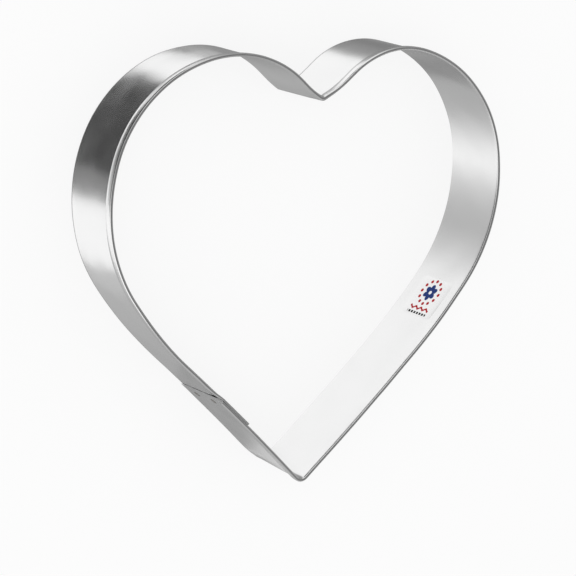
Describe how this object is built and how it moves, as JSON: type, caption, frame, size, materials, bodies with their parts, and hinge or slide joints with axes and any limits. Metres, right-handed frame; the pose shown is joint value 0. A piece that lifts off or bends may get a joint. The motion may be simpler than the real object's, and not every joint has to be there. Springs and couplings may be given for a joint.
{
  "type": "cookie cutter",
  "caption": "Heart-shaped cookie cutter: a hemmed strip of tinned steel bent on edge, lapped and spot-welded, with a thin cutting edge below and a folded rim above.",
  "frame": {"origin": "on the plane of the cutting edge, under the middle of the heart's outline box", "axes": "+Z from the cutting edge to the hemmed rim, +Y from the tip to the notch, +X across the lobes"},
  "size_m": [0.1288, 0.1226, 0.0222],
  "materials": {
    "tinned_steel": "satin-bright tin over cold-rolled steel",
    "weld_metal": "dull fused metal",
    "label_film": "thin printed film, glossy"
  },
  "bodies": {
    "root": {"strip": "tinned_steel", "spot_welds": "weld_metal", "label": "label_film"}
  },
  "joints": []
}
